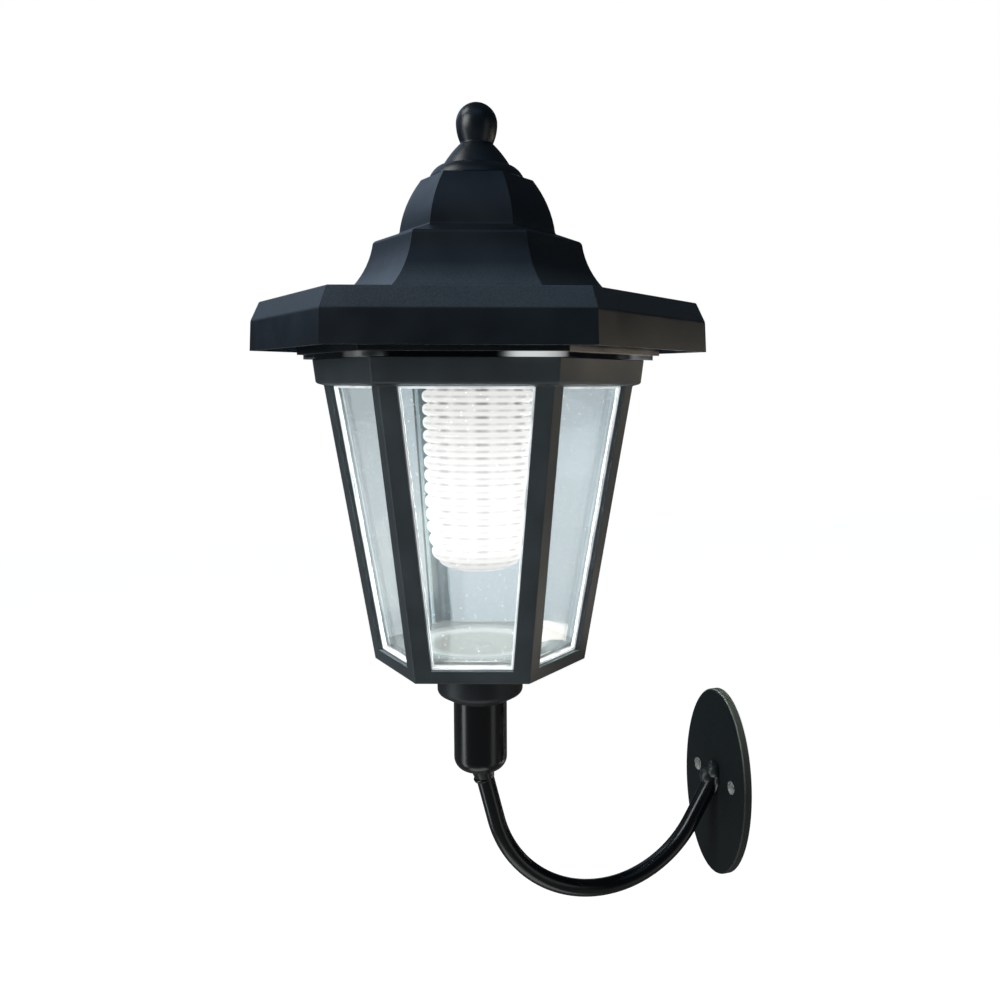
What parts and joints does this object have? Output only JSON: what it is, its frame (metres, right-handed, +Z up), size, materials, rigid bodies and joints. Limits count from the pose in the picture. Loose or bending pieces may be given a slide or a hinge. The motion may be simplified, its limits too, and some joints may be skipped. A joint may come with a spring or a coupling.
{
  "type": "solar wall light",
  "caption": "Six-sided solar lantern with clear panes and a stepped roof, standing in the cup of a bent steel wall bracket, for lighting a garden or porch wall.",
  "frame": {"origin": "midway between the two wall screws, on the back face of the wall plate", "axes": "+Z up, +Y into the wall, +X to the right as seen from the room side, facing the wall"},
  "size_m": [0.1388, 0.1538, 0.2578],
  "materials": {
    "plate_paint": "satin black paint on steel",
    "arm_paint": "gloss black paint on steel",
    "black_plastic": "moulded, satin",
    "soffit_plastic": "moulded, polished",
    "clear_plastic": "clear, polished",
    "lit_plastic": "clear, ribbed",
    "solar_laminate": "clear laminate over dark blue cells",
    "screw_steel": "zinc plated",
    "contact_steel": "nickel plated",
    "white_board": "white solder mask",
    "green_board": "green solder mask",
    "diode_epoxy": "clear epoxy",
    "component_resin": "moulded resin",
    "tray_plastic": "moulded",
    "slider_plastic": "moulded",
    "cell_can": "plain sleeve over a metal can",
    "red_lead": "insulation",
    "black_lead": "insulation"
  },
  "bodies": {
    "bracket": {"wall_plate": "plate_paint", "bracket_arm": "arm_paint", "plate_weld": "arm_paint", "socket_cup": "arm_paint"},
    "lantern": {"base_boss": "black_plastic", "base_screw": "screw_steel", "cage": "black_plastic", "clear_liner": "clear_plastic"},
    "head": {"roof_shell": "black_plastic", "finial": "black_plastic", "finial_screw": "screw_steel", "solar_panel_right": "solar_laminate", "solar_panel_left": "solar_laminate", "soffit_plate": "soffit_plastic", "soffit_screws": "screw_steel", "led_board": "white_board", "led": "diode_epoxy", "ribbed_diffuser": "lit_plastic", "diffuser_ring": "soffit_plastic", "diffuser_ring_screws": "screw_steel", "cell_tray": "tray_plastic", "battery_cell": "cell_can", "positive_contact": "contact_steel", "negative_contact": "contact_steel", "control_board": "green_board", "board_components": "component_resin", "board_screws": "screw_steel", "switch_housing": "tray_plastic", "cell_lead_positive": "red_lead", "cell_lead_negative": "black_lead", "diode_lead": "red_lead", "switch_lead": "black_lead", "panel_lead_left": "red_lead", "panel_lead_right": "black_lead"},
    "slider": {"switch_slider": "slider_plastic"}
  },
  "joints": [
    {"name": "lantern_turn", "type": "hinge", "parent": "bracket", "child": "lantern", "pos_m": [0, -0.0876, 0.0366], "axis": [0, 0, 1], "continuous": true},
    {"name": "head_lift", "type": "slide", "parent": "lantern", "child": "head", "axis": [0, 0, 1], "range_m": [0, 0.075]},
    {"name": "switch_slide", "type": "slide", "parent": "head", "child": "slider", "axis": [0.9848, 0.1736, 0], "range_m": [0, 0.003]}
  ]
}
